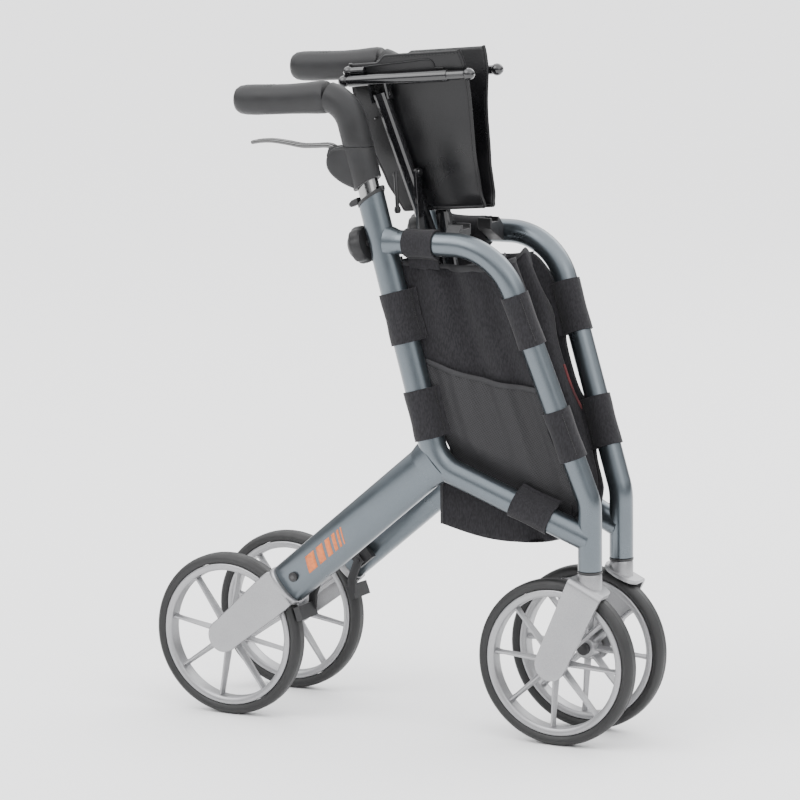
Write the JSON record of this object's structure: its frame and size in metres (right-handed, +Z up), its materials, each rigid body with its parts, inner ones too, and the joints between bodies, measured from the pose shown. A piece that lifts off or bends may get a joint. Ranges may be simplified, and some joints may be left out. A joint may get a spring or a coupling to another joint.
{
  "type": "rollator walker",
  "caption": "Folding shopping rollator: bent-tube side frames, spoked wheels, height-adjustable brake handles, cross-folding seat and hanging bag, shown folded.",
  "frame": {"origin": "centre of the footprint, on the floor under the four wheels, folded", "axes": "+X forward, +Y to the user's left, +Z up"},
  "size_m": [0.627, 0.1966, 0.8096],
  "materials": {
    "frame_paint": "satin metallic",
    "cast_alloy": "satin",
    "polished": "polished",
    "tyre": "matt",
    "grip_rubber": "soft matt",
    "black_plastic": "matt",
    "gloss_black": "gloss",
    "seat_vinyl": "semi-gloss",
    "bag_cloth": "woven"
  },
  "bodies": {
    "right_frame": {"right_upright": "frame_paint", "right_front_tube": "frame_paint", "right_rear_leg": "frame_paint", "right_rear_fork": "cast_alloy", "right_leg_screw": "black_plastic", "right_collar": "black_plastic", "right_brake_block": "black_plastic", "right_rear_axle": "black_plastic", "right_head_ring": "black_plastic", "right_pivot_bracket": "gloss_black", "right_rail_cradle": "black_plastic", "right_bag_side": "bag_cloth", "right_bag_gusset": "bag_cloth"},
    "cross_bar_front": {"cross_bar_front": "gloss_black"},
    "cross_bar_rear": {"cross_bar_rear": "gloss_black"},
    "left_frame": {"left_upright": "frame_paint", "left_front_tube": "frame_paint", "left_rear_leg": "frame_paint", "left_rear_fork": "cast_alloy", "left_leg_screw": "black_plastic", "left_collar": "black_plastic", "left_brake_block": "black_plastic", "left_rear_axle": "black_plastic", "left_head_ring": "black_plastic", "left_pivot_bracket": "gloss_black", "left_rail_cradle": "black_plastic", "left_bag_side": "bag_cloth"},
    "left_bag_half": {"left_bag_gusset": "bag_cloth"},
    "right_seat_rail": {"right_seat_rail": "gloss_black"},
    "left_seat_rail": {"left_seat_rail": "gloss_black"},
    "right_seat_panel": {"right_seat_panel": "seat_vinyl"},
    "right_guide_link": {"right_guide_link": "gloss_black"},
    "right_handle": {"right_handle_tube": "polished", "right_handle_elbow": "grip_rubber", "right_grip": "grip_rubber", "right_brake_housing": "grip_rubber"},
    "right_brake_lever": {"right_brake_lever": "polished"},
    "right_brake_shoe": {"right_brake_shoe": "black_plastic"},
    "right_height_knob": {"right_height_knob": "grip_rubber"},
    "right_rear_wheel": {"right_rear_rim": "cast_alloy", "right_rear_tyre": "tyre"},
    "right_caster": {"right_front_fork": "cast_alloy", "right_front_axle": "black_plastic"},
    "right_front_wheel": {"right_front_rim": "cast_alloy", "right_front_tyre": "tyre"},
    "left_seat_panel": {"left_seat_panel": "seat_vinyl"},
    "left_guide_link": {"left_guide_link": "gloss_black"},
    "left_handle": {"left_handle_tube": "polished", "left_handle_elbow": "grip_rubber", "left_grip": "grip_rubber", "left_brake_housing": "grip_rubber"},
    "left_brake_lever": {"left_brake_lever": "polished"},
    "left_brake_shoe": {"left_brake_shoe": "black_plastic"},
    "left_height_knob": {"left_height_knob": "grip_rubber"},
    "left_rear_wheel": {"left_rear_rim": "cast_alloy", "left_rear_tyre": "tyre"},
    "left_caster": {"left_front_fork": "cast_alloy", "left_front_axle": "black_plastic"},
    "left_front_wheel": {"left_front_rim": "cast_alloy", "left_front_tyre": "tyre"}
  },
  "joints": [
    {"name": "fold", "type": "hinge", "parent": "right_frame", "child": "cross_bar_front", "pos_m": [0.10078, -0.0371, 0.39836], "axis": [-0.9655, 0, -0.2605], "range_deg": [0, 46.77]},
    {"name": "cross_centre", "type": "hinge", "parent": "cross_bar_front", "child": "cross_bar_rear", "pos_m": [0.04276, 0, 0.57883], "axis": [-0.9655, 0, -0.2605], "range_deg": [-94.04, 0.5]},
    {"name": "left_foot_pivot", "type": "hinge", "parent": "cross_bar_rear", "child": "left_frame", "pos_m": [0.08292, 0.0371, 0.39354], "axis": [-0.9655, 0, -0.2605], "range_deg": [-0.5, 47.27]},
    {"name": "right_head_pivot", "type": "hinge", "parent": "cross_bar_rear", "child": "right_seat_rail", "pos_m": [-0.01573, -0.0371, 0.75917], "axis": [-0.9655, 0, -0.2605], "range_deg": [-0.5, 47.27]},
    {"name": "left_head_pivot", "type": "hinge", "parent": "cross_bar_front", "child": "left_seat_rail", "pos_m": [0.00213, 0.0371, 0.76399], "axis": [-0.9655, 0, -0.2605], "range_deg": [-47.27, 0.5]},
    {"name": "right_seat_fold", "type": "hinge", "parent": "right_seat_rail", "child": "right_seat_panel", "pos_m": [-0.0653, -0.0371, 0.7747], "axis": [0.9968, 0, 0.0802], "range_deg": [-0.5, 74.89]},
    {"name": "right_link_pivot", "type": "hinge", "parent": "right_frame", "child": "right_guide_link", "pos_m": [0.04718, -0.0571, 0.57016], "axis": [-0.9655, 0, -0.2605], "range_deg": [-0.5, 84.07]},
    {"name": "right_handle_height", "type": "slide", "parent": "right_frame", "child": "right_handle", "axis": [-0.2605, 0, 0.9655], "range_m": [0, 0.11]},
    {"name": "right_brake_lever_pivot", "type": "hinge", "parent": "right_handle", "child": "right_brake_lever", "pos_m": [-0.0495, -0.0751, 0.684], "axis": [0, 1, 0], "range_deg": [-14, 12], "stiffness_Nm_per_rad": 2},
    {"name": "right_brake_shoe_pivot", "type": "hinge", "parent": "right_frame", "child": "right_brake_shoe", "pos_m": [-0.10274, -0.0488, 0.17636], "axis": [0, 1, 0], "range_deg": [-3.7, 3.2]},
    {"name": "right_height_knob_turn", "type": "hinge", "parent": "right_frame", "child": "right_height_knob", "pos_m": [-0.01379, -0.0751, 0.58917], "axis": [-0.9655, 0, -0.2605], "range_deg": [0, 360]},
    {"name": "right_rear_wheel_spin", "type": "hinge", "parent": "right_frame", "child": "right_rear_wheel", "pos_m": [-0.2135, -0.0751, 0.1], "axis": [0, 1, 0], "continuous": true},
    {"name": "right_caster_swivel", "type": "hinge", "parent": "right_frame", "child": "right_caster", "pos_m": [0.2569, -0.0436, 0.205], "axis": [0, 0, 1], "range_deg": [-10, 180]},
    {"name": "right_front_wheel_spin", "type": "hinge", "parent": "right_caster", "child": "right_front_wheel", "pos_m": [0.2135, -0.0436, 0.1], "axis": [0, 1, 0], "continuous": true},
    {"name": "left_seat_fold", "type": "hinge", "parent": "left_seat_rail", "child": "left_seat_panel", "pos_m": [-0.0653, 0.0371, 0.7747], "axis": [-0.9968, 0, -0.0802], "range_deg": [-0.5, 74.89]},
    {"name": "left_link_pivot", "type": "hinge", "parent": "left_frame", "child": "left_guide_link", "pos_m": [0.04283, 0.0571, 0.56898], "axis": [0.9655, 0, 0.2605], "range_deg": [-0.5, 84.07]},
    {"name": "left_handle_height", "type": "slide", "parent": "left_frame", "child": "left_handle", "axis": [-0.2605, 0, 0.9655], "range_m": [-0.03, 0.08]},
    {"name": "left_brake_lever_pivot", "type": "hinge", "parent": "left_handle", "child": "left_brake_lever", "pos_m": [-0.05731, 0.0751, 0.71296], "axis": [0, 1, 0], "range_deg": [-14, 12], "stiffness_Nm_per_rad": 2},
    {"name": "left_brake_shoe_pivot", "type": "hinge", "parent": "left_frame", "child": "left_brake_shoe", "pos_m": [-0.10274, 0.0488, 0.17636], "axis": [0, 1, 0], "range_deg": [-3.7, 3.2]},
    {"name": "left_height_knob_turn", "type": "hinge", "parent": "left_frame", "child": "left_height_knob", "pos_m": [-0.01379, 0.0751, 0.58917], "axis": [-0.9655, 0, -0.2605], "range_deg": [0, 360]},
    {"name": "left_rear_wheel_spin", "type": "hinge", "parent": "left_frame", "child": "left_rear_wheel", "pos_m": [-0.2135, 0.0751, 0.1], "axis": [0, 1, 0], "continuous": true},
    {"name": "left_caster_swivel", "type": "hinge", "parent": "left_frame", "child": "left_caster", "pos_m": [0.2569, 0.0436, 0.205], "axis": [0, 0, 1], "range_deg": [-180, 10]},
    {"name": "left_front_wheel_spin", "type": "hinge", "parent": "left_caster", "child": "left_front_wheel", "pos_m": [0.2135, 0.0436, 0.1], "axis": [0, 1, 0], "continuous": true},
    {"name": "bag_spread", "type": "slide", "parent": "right_frame", "child": "left_bag_half", "axis": [0, 1, 0], "range_m": [0, 0.2546]}
  ],
  "couplings": [
    {"joint": "cross_centre", "follows": "fold", "ratio": -2},
    {"joint": "left_foot_pivot", "follows": "fold", "ratio": 1},
    {"joint": "right_head_pivot", "follows": "fold", "ratio": 1},
    {"joint": "left_head_pivot", "follows": "fold", "ratio": -1},
    {"joint": "right_seat_fold", "follows": "fold", "ratio": 1.5906},
    {"joint": "left_seat_fold", "follows": "fold", "ratio": 1.5906},
    {"joint": "right_link_pivot", "follows": "fold", "ratio": 1.7868},
    {"joint": "left_link_pivot", "follows": "fold", "ratio": 1.7868},
    {"joint": "bag_spread", "follows": "fold", "m_per_rad": 0.30937},
    {"joint": "right_brake_shoe_pivot", "follows": "right_brake_lever_pivot", "ratio": 0.18},
    {"joint": "left_brake_shoe_pivot", "follows": "left_brake_lever_pivot", "ratio": 0.18}
  ]
}
